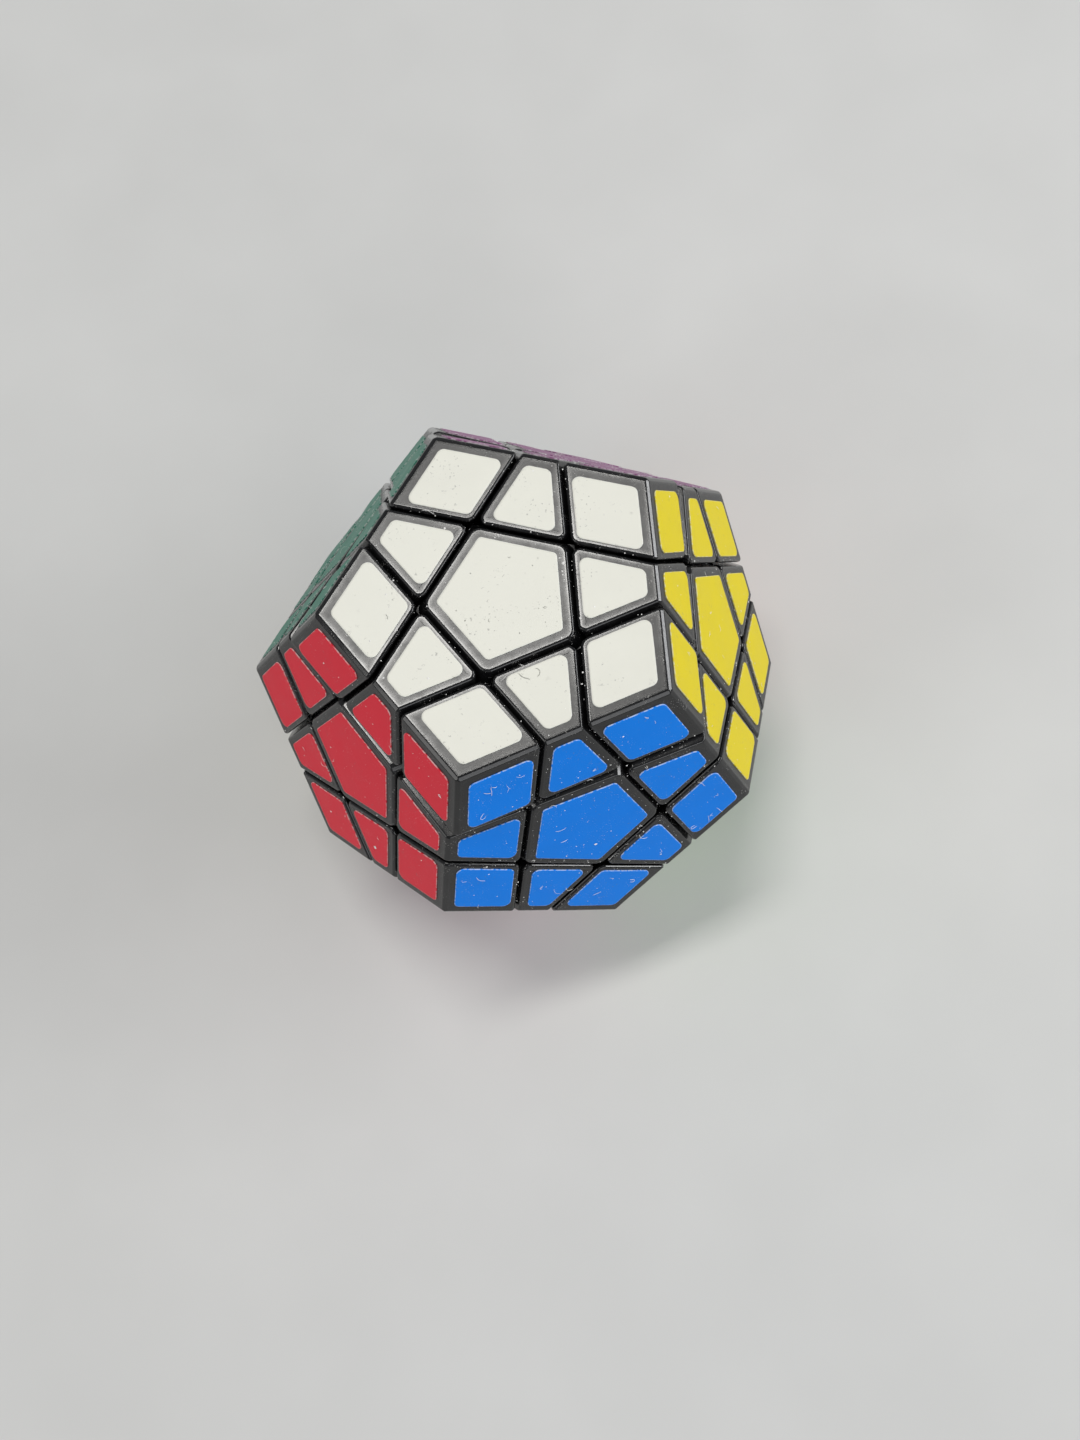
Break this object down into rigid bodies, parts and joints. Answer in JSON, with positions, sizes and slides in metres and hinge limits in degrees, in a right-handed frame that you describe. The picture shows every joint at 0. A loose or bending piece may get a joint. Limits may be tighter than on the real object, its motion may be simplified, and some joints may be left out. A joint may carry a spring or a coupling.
{
  "type": "dodecahedron twisty puzzle",
  "caption": "Dodecahedral turning puzzle with stickered black pieces, screwed and sprung centres and turning face layers.",
  "frame": {"origin": "the point inside the core where the turning axes meet, which is the middle of the bounding box", "axes": "+Z out of the white face, which is on top; the grey face below it rests on the table; -Y towards the blue face's side"},
  "size_m": [0.082, 0.0862, 0.0702],
  "materials": {
    "black_shell": "satin moulded black ABS",
    "black_inner": "moulded black ABS, greased",
    "core_plastic": "moulded dark grey nylon",
    "steel": "zinc plated steel",
    "spring_steel": "bright drawn spring wire",
    "vinyl_white": "satin vinyl sticker, white",
    "vinyl_yellow": "satin vinyl sticker, yellow",
    "vinyl_blue": "satin vinyl sticker, blue",
    "vinyl_red": "satin vinyl sticker, red",
    "vinyl_green": "satin vinyl sticker, green",
    "vinyl_purple": "satin vinyl sticker, purple",
    "vinyl_grey": "satin vinyl sticker, grey",
    "vinyl_light_blue": "satin vinyl sticker, light blue",
    "vinyl_cream": "satin vinyl sticker, cream",
    "vinyl_pink": "satin vinyl sticker, pink",
    "vinyl_light_green": "satin vinyl sticker, light green",
    "vinyl_orange": "satin vinyl sticker, orange"
  },
  "bodies": {
    "core": {"centre_bases": "black_inner", "centre_caps": "black_shell", "core": "core_plastic", "corner_feet": "black_inner", "corner_shells": "black_shell", "edge_feet": "black_inner", "edge_shells": "black_shell", "screws": "steel", "springs": "spring_steel", "stickers_blue": "vinyl_blue", "stickers_cream": "vinyl_cream", "stickers_green": "vinyl_green", "stickers_grey": "vinyl_grey", "stickers_light_blue": "vinyl_light_blue", "stickers_light_green": "vinyl_light_green", "stickers_purple": "vinyl_purple", "stickers_red": "vinyl_red", "stickers_yellow": "vinyl_yellow", "washers": "steel"},
    "white_spring": {"white_layer_spring": "spring_steel"},
    "white_layer": {"white_layer_centre_base": "black_inner", "white_layer_centre_cap": "black_shell", "white_layer_corner_feet": "black_inner", "white_layer_corner_shells": "black_shell", "white_layer_edge_feet": "black_inner", "white_layer_edge_shells": "black_shell", "white_layer_stickers_blue": "vinyl_blue", "white_layer_stickers_green": "vinyl_green", "white_layer_stickers_purple": "vinyl_purple", "white_layer_stickers_red": "vinyl_red", "white_layer_stickers_white": "vinyl_white", "white_layer_stickers_yellow": "vinyl_yellow"},
    "pink_spring": {"pink_layer_spring": "spring_steel"},
    "pink_layer": {"pink_layer_centre_base": "black_inner", "pink_layer_centre_cap": "black_shell", "pink_layer_corner_feet": "black_inner", "pink_layer_corner_shells": "black_shell", "pink_layer_edge_feet": "black_inner", "pink_layer_edge_shells": "black_shell", "pink_layer_stickers_blue": "vinyl_blue", "pink_layer_stickers_cream": "vinyl_cream", "pink_layer_stickers_grey": "vinyl_grey", "pink_layer_stickers_light_green": "vinyl_light_green", "pink_layer_stickers_pink": "vinyl_pink", "pink_layer_stickers_red": "vinyl_red"},
    "orange_spring": {"orange_layer_spring": "spring_steel"},
    "orange_layer": {"orange_layer_centre_base": "black_inner", "orange_layer_centre_cap": "black_shell", "orange_layer_corner_feet": "black_inner", "orange_layer_corner_shells": "black_shell", "orange_layer_edge_feet": "black_inner", "orange_layer_edge_shells": "black_shell", "orange_layer_stickers_grey": "vinyl_grey", "orange_layer_stickers_light_blue": "vinyl_light_blue", "orange_layer_stickers_light_green": "vinyl_light_green", "orange_layer_stickers_orange": "vinyl_orange", "orange_layer_stickers_purple": "vinyl_purple", "orange_layer_stickers_yellow": "vinyl_yellow"}
  },
  "joints": [
    {"name": "white_float", "type": "slide", "parent": "core", "child": "white_spring", "axis": [0, 0, 1], "range_m": [0, 0.0003], "stiffness_N_per_m": 1200, "springref_m": -0.0008, "deforming": ["white_layer_spring"]},
    {"name": "white_turn", "type": "hinge", "parent": "white_spring", "child": "white_layer", "pos_m": [0, 0, 0], "axis": [0, 0, 1], "continuous": true},
    {"name": "pink_float", "type": "slide", "parent": "core", "child": "pink_spring", "axis": [-0.5257, -0.7236, -0.4472], "range_m": [0, 0.0003], "stiffness_N_per_m": 1200, "springref_m": -0.0008, "deforming": ["pink_layer_spring"]},
    {"name": "pink_turn", "type": "hinge", "parent": "pink_spring", "child": "pink_layer", "pos_m": [0, 0, 0], "axis": [-0.5257, -0.7236, -0.4472], "continuous": true},
    {"name": "orange_float", "type": "slide", "parent": "core", "child": "orange_spring", "axis": [0.8507, 0.2764, -0.4472], "range_m": [0, 0.0003], "stiffness_N_per_m": 1200, "springref_m": -0.0008, "deforming": ["orange_layer_spring"]},
    {"name": "orange_turn", "type": "hinge", "parent": "orange_spring", "child": "orange_layer", "pos_m": [0, 0, 0], "axis": [0.8507, 0.2764, -0.4472], "continuous": true}
  ]
}
